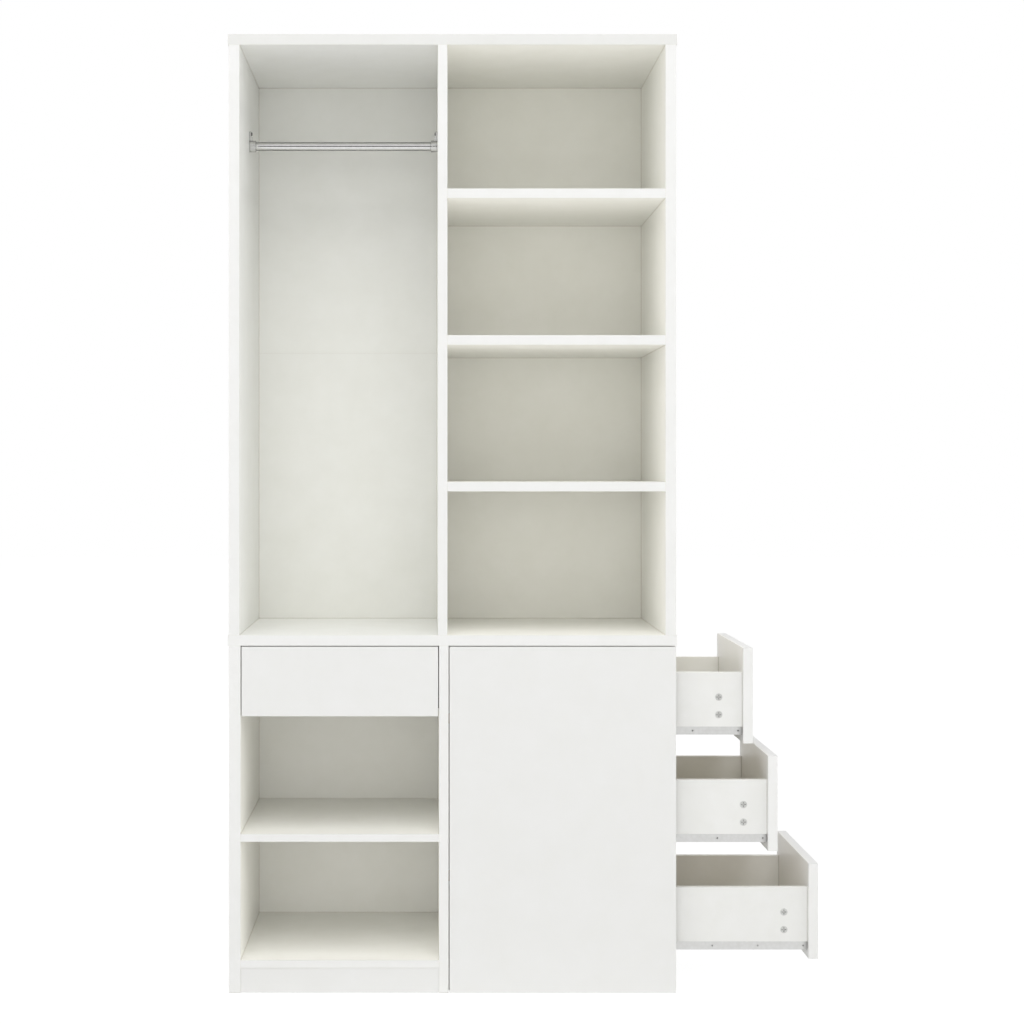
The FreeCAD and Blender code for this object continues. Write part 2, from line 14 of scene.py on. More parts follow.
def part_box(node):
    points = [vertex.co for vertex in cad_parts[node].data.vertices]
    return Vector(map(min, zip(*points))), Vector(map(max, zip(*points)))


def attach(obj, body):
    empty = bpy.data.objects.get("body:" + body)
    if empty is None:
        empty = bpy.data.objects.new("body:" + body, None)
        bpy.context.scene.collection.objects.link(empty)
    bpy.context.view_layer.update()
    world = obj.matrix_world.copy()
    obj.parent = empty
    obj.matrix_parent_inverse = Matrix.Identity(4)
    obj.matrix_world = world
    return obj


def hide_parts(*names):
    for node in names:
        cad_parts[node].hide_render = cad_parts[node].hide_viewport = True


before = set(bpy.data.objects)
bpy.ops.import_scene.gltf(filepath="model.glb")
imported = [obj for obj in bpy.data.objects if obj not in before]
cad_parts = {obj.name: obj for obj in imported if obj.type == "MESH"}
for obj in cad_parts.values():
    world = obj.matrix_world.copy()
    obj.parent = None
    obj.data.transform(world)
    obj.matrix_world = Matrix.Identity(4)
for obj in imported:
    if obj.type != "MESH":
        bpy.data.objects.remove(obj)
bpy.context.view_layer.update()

LOG = logging.getLogger("wardrobe")
MM = 0.001
WELD_DISTANCE = 0.005 * MM
EASE_ANGLE = math.radians(40)
# Most values of a noise texture lie between these two.
NOISE_LOW, NOISE_HIGH = 0.3, 0.7
# Sockets of a Mix node that mixes colours: the share, the two colours and the result.
MIX_SHARE, MIX_FIRST, MIX_SECOND, MIX_RESULT = 0, 6, 7, 2
Point = tuple[float, float, float]
Profile = Sequence[tuple[float, float]]


class Body(Enum):
    """The bodies that pieces ride on."""

    CARCASS = "carcass"
    FRONT_DRAWER = "front_drawer"
    UPPER_DRAWER = "upper_drawer"
    MIDDLE_DRAWER = "middle_drawer"
    LOWER_DRAWER = "lower_drawer"


class Slot(Enum):
    """The record's material slots, one named for each kind of added piece."""

    MELAMINE = "melamine_board"
    DRAWER = "drawer_board"
    SCREW = "screw_steel"
    DARK_SCREW = "screw_black"


class Side(Enum):
    """A side of a board, as its axis and the sign of its outward direction."""

    LEFT = (0, -1)
    RIGHT = (0, 1)
    FRONT = (1, -1)
    REAR = (1, 1)
    LOW = (2, -1)
    HIGH = (2, 1)


class Grain(Enum):
    """The axis along which a surface is streaked."""

    X = 0
    Y = 1
    Z = 2


def linear(colour: str) -> tuple[float, float, float, float]:
    """Turn an sRGB hex colour into the linear values that shaders take.

    Args:
        colour: The colour as "#RRGGBB".

    Returns:
        Red, green, blue and an alpha of one.
    """
    parts = (int(colour[start:start + 2], 16) / 255 for start in (1, 3, 5))
    red, green, blue = (
        part / 12.92 if part <= 0.04045 else ((part + 0.055) / 1.055) ** 2.4 for part in parts
    )
    return red, green, blue, 1.0


def per_metre(size_mm: float) -> float:
    """Give the texture scale at which one feature is that many millimetres wide."""
    return 1 / (size_mm * MM)


def bare_material(name: str) -> tuple[bpy.types.Material, bpy.types.NodeTree]:
    """Make a material that has no nodes yet.

    Args:
        name: The material's name.

    Returns:
        The material and its tree.
    """
    material = bpy.data.materials.new(name)
    material.use_nodes = True
    material.node_tree.nodes.clear()
    return material, material.node_tree


def add_node(
    tree: bpy.types.NodeTree, kind: str, inputs: Optional[dict[Any, Any]] = None, **settings: Any
) -> bpy.types.Node:
    """Add a node with its settings and its links.

    Args:
        tree: The tree that gets the node.
        kind: The node's type.
        inputs: Each input's name or number, with its value or the socket that feeds it.
        settings: The node's own settings.

    Returns:
        The new node.
    """
    node = tree.nodes.new(kind)
    for name, value in settings.items():
        setattr(node, name, value)
    for name, value in (inputs or {}).items():
        if isinstance(value, bpy.types.NodeSocket):
            tree.links.new(value, node.inputs[name])
        else:
            node.inputs[name].default_value = value
    return node


def with_recess_shade(
    tree: bpy.types.NodeTree, unshaded: bpy.types.NodeSocket, recess_shade: str, reach_mm: float
) -> bpy.types.NodeSocket:
    """Darken a colour in seams and recesses, as painted shade where little light would reach.

    Args:
        tree: The material's tree.
        unshaded: The colour of the open surface, before the painted shade.
        recess_shade: The colour of the painted shade in the deepest recess.
        reach_mm: How far from a neighbouring surface the painted shade reaches.

    Returns:
        The colour with its painted shade.
    """
    # Painted shade: the more closed in a spot is, the nearer its colour comes to the shade colour.
    open_share = add_node(
        tree, "ShaderNodeAmbientOcclusion", {"Distance": reach_mm * MM}, samples=8,
    )
    return add_node(tree, "ShaderNodeMix", {
        MIX_SHARE: open_share.outputs["AO"], MIX_FIRST: linear(recess_shade), MIX_SECOND: unshaded,
    }, data_type="RGBA").outputs[MIX_RESULT]


def streaked(
    tree: bpy.types.NodeTree, place: bpy.types.NodeSocket, width_mm: float, length_mm: float,
    along: Grain, detail: float,
) -> bpy.types.NodeSocket:
    """Draw noise out into streaks along one axis.

    Args:
        tree: The material's tree.
        place: The place on the piece.
        width_mm: A streak's width.
        length_mm: A streak's length.
        along: The axis along which the streaks run.
        detail: The noise's detail.

    Returns:
        The streaks' height.
    """
    stretch = [per_metre(width_mm)] * 3
    stretch[along.value] = per_metre(length_mm)
    lanes = add_node(tree, "ShaderNodeMapping", {"Vector": place, "Scale": stretch})
    return add_node(tree, "ShaderNodeTexNoise", {
        "Vector": lanes.outputs["Vector"], "Scale": 1.0, "Detail": detail,
    }).outputs["Fac"]


@dataclass(frozen=True)
class BoardFinish:
    """A pale coated board: an even colour with a faint mottle and a pebble pressed into the coat."""

    name: str
    colour: str
    shade: str
    roughness: float
    ior: float
    mottle_mm: float
    pebble_mm: float
    pebble_depth_mm: float
    streak: Optional[Grain] = None
    streak_mm: float = 3.0
    streak_length_mm: float = 240.0
    # Colour of the painted shade in inner corners and seams, and how far it reaches; none for no painted
    # shade.
    recess_shade: Optional[str] = None
    recess_shade_reach_mm: float = 3.0
    roughness_spread: float = 0.06
    relief: float = 0.5

    def build(self) -> bpy.types.Material:
        """Make the material.

        Returns:
            The finished material.
        """
        material, tree = bare_material(self.name)
        place = add_node(tree, "ShaderNodeTexCoord").outputs["Object"]
        mottle = add_node(tree, "ShaderNodeTexNoise", {
            "Vector": place, "Scale": per_metre(self.mottle_mm), "Detail": 4.0, "Roughness": 0.6,
        })
        height = add_node(tree, "ShaderNodeTexNoise", {
            "Vector": place, "Scale": per_metre(self.pebble_mm), "Detail": 2.0, "Roughness": 0.5,
        }).outputs["Fac"]
        highest = NOISE_HIGH
        if self.streak is not None:
            lines = streaked(tree, place, self.streak_mm, self.streak_length_mm, self.streak, 2.0)
            height = add_node(
                tree, "ShaderNodeMath", {0: height, 1: lines}, operation="ADD",
            ).outputs["Value"]
            highest = 2 * NOISE_HIGH
        spread = add_node(tree, "ShaderNodeMapRange", {
            "Value": mottle.outputs["Fac"], "From Min": NOISE_LOW, "From Max": NOISE_HIGH,
        })
        tint = add_node(tree, "ShaderNodeMix", {
            MIX_SHARE: spread.outputs["Result"],
            MIX_FIRST: linear(self.shade), MIX_SECOND: linear(self.colour),
        }, data_type="RGBA").outputs[MIX_RESULT]
        # Painted shade darkens the colour where other boards close the surface in.
        if self.recess_shade is not None:
            tint = with_recess_shade(tree, tint, self.recess_shade, self.recess_shade_reach_mm)
        gloss = add_node(tree, "ShaderNodeMapRange", {
            "Value": height, "From Min": NOISE_LOW, "From Max": highest,
            "To Min": self.roughness - self.roughness_spread,
            "To Max": self.roughness + self.roughness_spread,
        })
        bump = add_node(tree, "ShaderNodeBump", {
            "Strength": self.relief, "Distance": self.pebble_depth_mm * MM, "Height": height,
        })
        shader = add_node(tree, "ShaderNodeBsdfPrincipled", {
            "Base Color": tint, "Roughness": gloss.outputs["Result"], "IOR": self.ior,
            "Normal": bump.outputs["Normal"],
        })
        add_node(tree, "ShaderNodeOutputMaterial", {"Surface": shader.outputs["BSDF"]})
        return material


@dataclass(frozen=True)
class MetalFinish:
    """A plated or cast metal: a tinted mirror, broken up by drawn lines and grains, with painted shade
    in its recesses.
    """

    name: str
    colour: str
    shade: str
    roughness: float
    roughness_spread: float
    grain_mm: float
    line_mm: float
    line_length_mm: float
    line: Grain
    depth_mm: float
    # Colour of the painted shade in seams and recesses, and how far from a neighbouring surface it
    # reaches.
    recess_shade: str = "#6E6C68"
    recess_shade_reach_mm: float = 4.0
    relief: float = 0.4

    def build(self) -> bpy.types.Material:
        """Make the material.

        Returns:
            The finished material.
        """
        material, tree = bare_material(self.name)
        place = add_node(tree, "ShaderNodeTexCoord").outputs["Object"]
        lines = streaked(tree, place, self.line_mm, self.line_length_mm, self.line, 3.0)
        grains = add_node(tree, "ShaderNodeTexVoronoi", {
            "Vector": place, "Scale": per_metre(self.grain_mm),
        })
        tint = add_node(tree, "ShaderNodeMix", {
            MIX_SHARE: grains.outputs["Distance"],
            MIX_FIRST: linear(self.colour), MIX_SECOND: linear(self.shade),
        }, data_type="RGBA").outputs[MIX_RESULT]
        gloss = add_node(tree, "ShaderNodeMapRange", {
            "Value": lines, "From Min": NOISE_LOW, "From Max": NOISE_HIGH,
            "To Min": self.roughness - self.roughness_spread,
            "To Max": self.roughness + self.roughness_spread,
        })
        bump = add_node(tree, "ShaderNodeBump", {
            "Strength": self.relief, "Distance": self.depth_mm * MM, "Height": lines,
        })
        # The base colour carries painted shade in seams and recesses.
        shader = add_node(tree, "ShaderNodeBsdfPrincipled", {
            "Base Color": with_recess_shade(tree, tint, self.recess_shade, self.recess_shade_reach_mm), "Metallic": 1.0,
            "Roughness": gloss.outputs["Result"], "Normal": bump.outputs["Normal"],
        })
        add_node(tree, "ShaderNodeOutputMaterial", {"Surface": shader.outputs["BSDF"]})
        return material


@dataclass(frozen=True)
class WoodFinish:
    """A bare softwood or hardwood: rings that run along the piece, with pores between them."""

    name: str
    early: str
    late: str
    roughness: float
    ring_mm: float
    pore_mm: float
    pore_length_mm: float
    pore_depth_mm: float = 0.1
    relief: float = 0.4
    ior: float = 1.53

    def build(self) -> bpy.types.Material:
        """Make the material.

        Returns:
            The finished material.
        """
        material, tree = bare_material(self.name)
        place = add_node(tree, "ShaderNodeTexCoord").outputs["Object"]
        rings = add_node(tree, "ShaderNodeTexWave", {
            "Vector": place, "Scale": per_metre(self.ring_mm) / (2 * math.pi),
            "Distortion": 3.0, "Detail": 2.0,
        }, bands_direction="Y")
        pores = streaked(tree, place, self.pore_mm, self.pore_length_mm, Grain.X, 2.0)
        grain = add_node(
            tree, "ShaderNodeMath", {0: rings.outputs["Fac"], 1: pores}, operation="MULTIPLY",
        )
        tint = add_node(tree, "ShaderNodeMix", {
            MIX_SHARE: grain.outputs["Value"],
            MIX_FIRST: linear(self.early), MIX_SECOND: linear(self.late),
        }, data_type="RGBA").outputs[MIX_RESULT]
        bump = add_node(tree, "ShaderNodeBump", {
            "Strength": self.relief, "Distance": self.pore_depth_mm * MM, "Height": pores,
        })
        shader = add_node(tree, "ShaderNodeBsdfPrincipled", {
            "Base Color": tint, "Roughness": self.roughness, "IOR": self.ior,
            "Normal": bump.outputs["Normal"],
        })
        add_node(tree, "ShaderNodeOutputMaterial", {"Surface": shader.outputs["BSDF"]})
        return material


class Finish(Enum):
    """Every finish of the wardrobe."""

    # Chipboard faced with melamine paper, pressed on a finely pebbled plate: an even satin white
    # whose highlights are broken softly. The real pebble is 0.4 mm, drawn at 5 mm so that it shows.
    # Painted shade in the inner corners draws a thin line there.
    MELAMINE = BoardFinish(
        "melamine_board_pressed", "#F3F3EE", "#F0F0EA", roughness=0.45, ior=1.55,
        mottle_mm=60, pebble_mm=5, pebble_depth_mm=0.10, recess_shade="#CDC7BA",
    )
    # The same board from a plate with a softer pebble, for fronts: a shade greyer and calmer.
    FRONT = BoardFinish(
        "melamine_front_pressed", "#EEEEED", "#ECECEA", roughness=0.42, ior=1.55,
        mottle_mm=80, pebble_mm=6, pebble_depth_mm=0.07,
    )
    # Edging of white ABS, extruded and buffed after gluing: smoother and brighter than the faces,
    # with a grey line of painted shade where it meets another board.
    EDGING = BoardFinish(
        "abs_edging_extruded", "#F2F2F1", "#F0F0EE", roughness=0.36, ior=1.53,
        mottle_mm=45, pebble_mm=6, pebble_depth_mm=0.05, recess_shade="#A9A69E", recess_shade_reach_mm=2.0,
    )
    # The top board's edging with painted shade: the same edging a shade darker than the uprights under
    # it.
    SHADED_TOP_EDGING = replace(
        EDGING, name="abs_edging_extruded_painted_shade", colour="#E9E9E7", shade="#E7E7E4",
    )
    # Drawer board wrapped in PVC foil: the foil bridges the chips, so it is smooth with slow waves.
    # Painted shade at its butt joints draws a thin grey line in each corner.
    FOIL = BoardFinish(
        "pvc_foil_wrapped_board", "#F0F0EE", "#EDEDEA", roughness=0.42, ior=1.53,
        mottle_mm=40, pebble_mm=7, pebble_depth_mm=0.08, recess_shade="#8F897C",
    )
    # Hardboard lacquered by rollers: faint streaks run up the panel, and it is a little warmer.
    # Painted shade darkens it in the corners where it meets the boards round it.
    HARDBOARD = BoardFinish(
        "hardboard_roller_lacquered", "#F1F1EA", "#EDEDE5", roughness=0.50, ior=1.50,
        mottle_mm=90, pebble_mm=5, pebble_depth_mm=0.12, streak=Grain.Z, recess_shade="#C9C2B4",
    )
    # Nylon, moulded: milky and smooth.
    NYLON = BoardFinish(
        "nylon_moulded", "#E8E6DE", "#E2E0D6", roughness=0.40, ior=1.53,
        mottle_mm=20, pebble_mm=3, pebble_depth_mm=0.03,
    )
    # Steel tube plated with chromium over nickel and buffed: clear reflections, fine drawn lines.
    # Painted shade darkens it where other parts come close, as in every metal here.
    CHROME = MetalFinish(
        "chrome_plated_tube_buffed", "#DBDBDA", "#D2D2D1", roughness=0.07, roughness_spread=0.03,
        grain_mm=9, line_mm=1.2, line_length_mm=90, line=Grain.X, depth_mm=0.01,
    )
    # Zinc, die-cast and plated: bright, with the soft ripple of the casting under the plate.
    # Painted shade darkens it in its recesses and where it meets the wall.
    CAST = MetalFinish(
        "zinc_die_cast_plated", "#D7D7D6", "#D1D1D0", roughness=0.24, roughness_spread=0.03,
        grain_mm=5, line_mm=4, line_length_mm=8, line=Grain.Z, depth_mm=0.005,
    )
    # Steel strip, rolled and zinc-plated: silky grey with lines along the rolling direction, and
    # dark painted shade inside the folds that shows through the holes.
    ROLLED_X = MetalFinish(
        "steel_strip_rolled_along_x", "#DCDCDB", "#D3D3D1", roughness=0.42, roughness_spread=0.06,
        grain_mm=8, line_mm=1.5, line_length_mm=400, line=Grain.X, depth_mm=0.01,
        recess_shade="#2E2D2B", recess_shade_reach_mm=14.0,
    )
    ROLLED_Y = replace(ROLLED_X, name="steel_strip_rolled_along_y", line=Grain.Y)
    # Zinc, die-cast and tumbled: matt grey that glints on its rims, with painted shade in its cross
    # slot.
    CAM = MetalFinish(
        "zinc_die_cast_tumbled", "#DADAD8", "#C8C8C5", roughness=0.34, roughness_spread=0.08,
        grain_mm=2.5, line_mm=1.5, line_length_mm=3, line=Grain.Z, depth_mm=0.05,
        recess_shade="#575550", recess_shade_reach_mm=3.0,
    )
    # Steel wire, cold-headed into screws and zinc-plated: grey with turning lines.
    # Painted shade darkens its cross recess.
    SCREW = MetalFinish(
        "steel_cold_headed_zinc_plated", "#B4B6B9", "#9C9EA2", roughness=0.32, roughness_spread=0.08,
        grain_mm=1.5, line_mm=0.6, line_length_mm=3, line=Grain.Z, depth_mm=0.02,
    )
    # The same wire, blackened in a hot salt bath: nearly black with a dull oily sheen.
    # Like the plain screw, it has painted shade in its cross recess.
    DARK_SCREW = replace(
        SCREW, name="steel_cold_headed_blackened", colour="#3A3937", shade="#2B2A29", roughness=0.38,
    )
    # Beech, turned and fluted: pinkish tan with short dark flecks.
    BEECH = WoodFinish(
        "beech_turned", "#CDAF86", "#B48F63", roughness=0.60, ring_mm=2.5, pore_mm=0.5, pore_length_mm=6,
    )
    # Pine, planed: straw with amber late rings.
    PINE = WoodFinish(
        "pine_planed", "#DDBF8F", "#C0935A", roughness=0.55, ring_mm=4, pore_mm=0.6, pore_length_mm=25,
    )

    def material(self) -> bpy.types.Material:
        """Give the finish's material, which is made once."""
        return bpy.data.materials.get(self.value.name) or self.value.build()


def dress(node: str, finish: Finish, ease_mm: float = 0.0) -> None:
    """Give a CAD node its finish and, where it has sharp edges that show, ease them.

    Args:
        node: The node's name.
        finish: Its finish.
        ease_mm: The width that the eased edges have, or zero.
    """
    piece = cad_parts[node]
    piece.data.materials.clear()
    piece.data.materials.append(finish.material())
    if ease_mm:
        weld = piece.modifiers.new("weld", "WELD")
        weld.merge_threshold = WELD_DISTANCE
        ease = piece.modifiers.new("eased_edges", "BEVEL")
        ease.width = ease_mm * MM
        ease.segments = 2
        ease.limit_method = "ANGLE"
        ease.angle_limit = EASE_ANGLE
        ease.use_clamp_overlap = True
        normals = piece.modifiers.new("flat_faces", "WEIGHTED_NORMAL")
        normals.keep_sharp = False
    LOG.info("dressed %s as %s", node, finish.value.name)


def piece_from(
    name: str, shell: bmesh.types.BMesh, finish: Finish, slot: Slot, body: Body
) -> bpy.types.Object:
    """Turn a built shell into a piece that rides on a body.

    Args:
        name: The piece's name.
        shell: Its mesh in the row frame, which is freed.
        finish: Its finish.
        slot: Not used.
        body: The body that carries it.

    Returns:
        The piece.
    """
    mesh = bpy.data.meshes.new(name)
    bmesh.ops.recalc_face_normals(shell, faces=shell.faces)
    shell.to_mesh(mesh)
    shell.free()
    mesh.materials.append(finish.material())
    piece = bpy.data.objects.new(name, mesh)
    bpy.context.scene.collection.objects.link(piece)
    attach(piece, body.value)
    LOG.info("built %s on %s", name, body.value)
    return piece


def solids(node: str) -> Iterator[list[Vector]]:
    """Split a CAD node into its separate solids.

    Args:
        node: The node's name.

    Yields:
        The corners of one solid.
    """
    shell = bmesh.new()
    shell.from_mesh(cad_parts[node].data)
    bmesh.ops.remove_doubles(shell, verts=shell.verts, dist=WELD_DISTANCE)
    left = dict.fromkeys(shell.verts)
    while left:
        group = [left.popitem()[0]]
        for corner in group:
            for edge in corner.link_edges:
                other = edge.other_vert(corner)
                if other in left:
                    del left[other]
                    group.append(other)
        yield [corner.co.copy() for corner in group]
    shell.free()


@dataclass(frozen=True)
class EdgeBand:
    """Edging on one narrow side of a board, a hair wider than it and rounded at its outer edges."""

    thickness_mm: float = 1.2
    proud_mm: float = 0.2
    overlap_mm: float = 0.05
    radius_mm: float = 0.9
    segments: int = 3
    tolerance_mm: float = 0.01

    def build(
        self, node: str, side: Side, body: Body,
        slot: Slot = Slot.MELAMINE, finish: Finish = Finish.EDGING,
    ) -> None:
        """Make the band on one side of a board.

        Args:
            node: The board.
            side: The side that the band covers.
            body: The body that carries the board.
            slot: The record's slot of the board.
            finish: The band's finish.
        """
        axis, sign = side.value
        low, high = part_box(node)
        across = min((a for a in range(3) if a != axis), key=lambda a: high[a] - low[a])
        low[across] -= self.overlap_mm * MM
        high[across] += self.overlap_mm * MM
        face = (low, high)[sign > 0][axis]
        low[axis], high[axis] = sorted((
            face + sign * self.proud_mm * MM,
            face + sign * (self.proud_mm - self.thickness_mm) * MM,
        ))
        shell = bmesh.new()
        bmesh.ops.create_cube(shell, size=1.0)
        for corner in shell.verts:
            corner.co = Vector(
                low[a] + (corner.co[a] + 0.5) * (high[a] - low[a]) for a in range(3)
            )
        outer = (low, high)[sign > 0][axis]
        rim = [
            edge for edge in shell.edges
            if all(abs(corner.co[axis] - outer) < self.tolerance_mm * MM for corner in edge.verts)
        ]
        bmesh.ops.bevel(
            shell, geom=rim, offset=self.radius_mm * MM, segments=self.segments, profile=0.5,
            affect="EDGES",
        )
        piece_from(f"{node}_{side.name.lower()}_band", shell, finish, slot, body)


def lathe(
    shell: bmesh.types.BMesh, profile: Profile, place: Matrix, segments: int
) -> list[list[bmesh.types.BMVert]]:
    """Turn a profile about the local Z axis.

    Args:
        shell: The mesh that gets the turned form.
        profile: Radius and height of each ring in millimetres. A radius of zero is a tip.
        place: Where the local axes lie in the row frame.
        segments: Corners in each ring.

    Returns:
        The corners of each ring.
    """
    rings = []
    for radius, height in profile:
        count = segments if radius else 1
        rings.append([
            shell.verts.new(place @ Vector((
                radius * MM * math.cos(2 * math.pi * turn / segments),
                radius * MM * math.sin(2 * math.pi * turn / segments),
                height * MM,
            )))
            for turn in range(count)
        ])
    for lower, upper in zip(rings, rings[1:]):
        for turn in range(segments):
            corners = [
                lower[turn % len(lower)], lower[(turn + 1) % len(lower)],
                upper[(turn + 1) % len(upper)], upper[turn % len(upper)],
            ]
            shell.faces.new(list(dict.fromkeys(corners))).smooth = True
    return rings


@dataclass(frozen=True)
class PanHeadScrew:
    """A pan-head screw with a cross recess, a threaded shank and a point.

    The dome gives the head's outline from its underside up, in shares of its radius and height.
    """

    head_radius_mm: float = 4.0
    head_height_mm: float = 2.0
    shank_radius_mm: float = 2.0
    core_radius_mm: float = 1.4
    pitch_mm: float = 1.5
    recess_mm: float = 1.7
    recess_width_mm: float = 0.5
    recess_depth_mm: float = 1.1
    recess_taper: float = 0.6
    segments: int = 24
    dome: Profile = ((0.97, 0.0), (1.0, 0.1), (1.0, 0.4), (0.93, 0.68), (0.8, 0.9), (0.62, 1.0))

    def profile(self, length_mm: float) -> list[tuple[float, float]]:
        """Give the outline from the point up to the head's flat top.

        Args:
            length_mm: The shank's length.

        Returns:
            Radius and height of each ring.
        """
        outline = [(0.0, -length_mm)]
        height = -length_mm + self.pitch_mm
        while height < -self.pitch_mm:
            outline.append((self.core_radius_mm, height))
            outline.append((self.shank_radius_mm, height + self.pitch_mm / 2))
            height += self.pitch_mm
        outline.append((self.shank_radius_mm, 0.0))
        return outline + [
            (share * self.head_radius_mm, rise * self.head_height_mm) for share, rise in self.dome
        ]

    def add(self, shell: bmesh.types.BMesh, place: Matrix, length_mm: float) -> None:
        """Add one screw to a shell.

        Args:
            shell: The mesh that gets the screw.
            place: The underside of its head, with local Z out of the wall.
            length_mm: The shank's length.
        """
        rim = lathe(shell, self.profile(length_mm), place, self.segments)[-1]
        arm, half = self.recess_mm, self.recess_width_mm
        cross = [
            (arm, -half), (arm, half), (half, half), (half, arm), (-half, arm), (-half, half),
            (-arm, half), (-arm, -half), (-half, -half), (-half, -arm), (half, -arm), (half, -half),
        ]
        top = self.head_height_mm
        mouth, floor = (
            [
                shell.verts.new(place @ Vector((x * scale * MM, y * scale * MM, z * MM)))
                for x, y in cross
            ]
            for scale, z in ((1.0, top), (self.recess_taper, top - self.recess_depth_mm))
        )
        edges = []
        for loop in (rim, mouth):
            for start, end in zip(loop, loop[1:] + loop[:1]):
                edges.append(shell.edges.get((start, end)) or shell.edges.new((start, end)))
        bmesh.ops.triangle_fill(shell, use_beauty=True, edges=edges)
        count = len(cross)
        for turn in range(count):
            following = (turn + 1) % count
            shell.faces.new((mouth[turn], mouth[following], floor[following], floor[turn]))
        shell.faces.new(floor)

    def replace(self, node: str, body: Body, finish: Finish, slot: Slot) -> None:
        """Stand for every screw of a CAD node.

        Args:
            node: The node of plain screws.
            body: The body that carries them.
            finish: Their finish.
            slot: The record's slot for that finish.
        """
        shell = bmesh.new()
        between = (self.shank_radius_mm + self.head_radius_mm) / 2 * MM
        for corners in solids(node):
            low = Vector(min(corner[a] for corner in corners) for a in range(3))
            high = Vector(max(corner[a] for corner in corners) for a in range(3))
            size = high - low
            axis = max(range(3), key=lambda a: size[a])
            middle = (low + high) / 2
            wide = [
                corner for corner in corners
                if (corner - middle - Vector(
                    (corner - middle)[a] if a == axis else 0 for a in range(3)
                )).length > between
            ]
            sign = 1 if sum(corner[axis] for corner in wide) / len(wide) > middle[axis] else -1
            out = Vector(sign if a == axis else 0 for a in range(3))
            seat = middle + out * (size[axis] / 2 - self.head_height_mm * MM)
            place = Matrix.Translation(seat) @ out.to_track_quat("Z", "Y").to_matrix().to_4x4()
            self.add(shell, place, size[axis] / MM - self.head_height_mm)
        piece = piece_from(f"{node}_cross_recessed", shell, finish, slot, body)
        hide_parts(node)


@dataclass(frozen=True)
class PanelPins:
    """Round-headed pins that hold the back panels on the edges of the partition and shelves."""

    pitch_mm: float = 140.0
    inset_mm: float = 25.0
    segments: int = 12
    outline: Profile = (
        (0.0, -14.0), (0.7, -12.5), (0.7, 0.0), (2.3, 0.0),
        (2.5, 0.2), (2.3, 0.55), (1.4, 0.9), (0.0, 1.0),
    )

    def row(self, start: Vector, end: Vector) -> Iterator[Vector]:
        """Space pins evenly along a line.

        Args:
            start: One end of the line.
            end: Its other end.

        Yields:
            The place of each pin.
        """
        along = end - start
        room = along.length - 2 * self.inset_mm * MM
        count = max(1, round(room / (self.pitch_mm * MM)))
        for step in range(count + 1):
            yield start + along.normalized() * (self.inset_mm * MM + room * step / count)

    def build(self, rows: Sequence[tuple[Vector, Vector]], body: Body) -> None:
        """Make all the pins as one piece.

        Args:
            rows: The two ends of each row, on the rear face of the panels.
            body: The body that carries them.
        """
        shell = bmesh.new()
        turn = Vector((0, 1, 0)).to_track_quat("Z", "Y").to_matrix().to_4x4()
        for start, end in rows:
            for spot in self.row(start, end):
                lathe(shell, self.outline, Matrix.Translation(spot) @ turn, self.segments)
        piece_from("back_panel_pins", shell, Finish.SCREW, Slot.SCREW, body)


@dataclass
class UpperCase:
    """The hanging bay and the shelves: sides, partition, boards and the thin back.

    The pinned shelves come with the shares of their thickness at which pins run. The two back
    panels meet behind the centre shelf, so it has a row for each.
    """

    ease_mm: float = 0.8
    panel_ease_mm: float = 0.5
    boards: tuple[str, ...] = (
        "top_board", "middle_board", "upper_left_side", "upper_right_side", "upper_partition",
        "upper_shelf", "centre_shelf", "lower_shelf",
    )
    end_banded: tuple[str, ...] = ("top_board", "middle_board")
    panels: tuple[str, ...] = ("upper_back_panel", "centre_back_panel")
    pinned: tuple[tuple[str, tuple[float, ...]], ...] = (
        ("upper_shelf", (0.5,)), ("lower_shelf", (0.5,)), ("centre_shelf", (0.25, 0.75)),
    )
    band: EdgeBand = field(default_factory=EdgeBand)
    pins: PanelPins = field(default_factory=PanelPins)

    def build(self) -> None:
        """Dress the boards and add their edge bands and the pins of the back."""
        for board in self.boards:
            dress(board, Finish.MELAMINE, self.ease_mm)
            # The top board's band takes the darker copy of the edging, with painted shade.
            edging = Finish.SHADED_TOP_EDGING if board == "top_board" else Finish.EDGING
            self.band.build(board, Side.FRONT, Body.CARCASS, finish=edging)
        for board in self.end_banded:
            for side in (Side.LEFT, Side.RIGHT):
                self.band.build(board, side, Body.CARCASS)
        for panel in self.panels:
            dress(panel, Finish.HARDBOARD, self.panel_ease_mm)
        self.pin_back()
        dress("dowels", Finish.BEECH)

    def pin_back(self) -> None:
        """Pin the back panels to the partition and the shelves behind them."""
        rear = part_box("upper_back_panel")[1].y
        rows = []
        for panel in self.panels:
            low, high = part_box(panel)
            rows.append((Vector((0, rear, low.z)), Vector((0, rear, high.z))))
        for shelf, shares in self.pinned:
            low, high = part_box(shelf)
            for share in shares:
                height = low.z + (high.z - low.z) * share
                rows.append((Vector((low.x, rear, height)), Vector((high.x, rear, height))))
        self.pins.build(rows, Body.CARCASS)


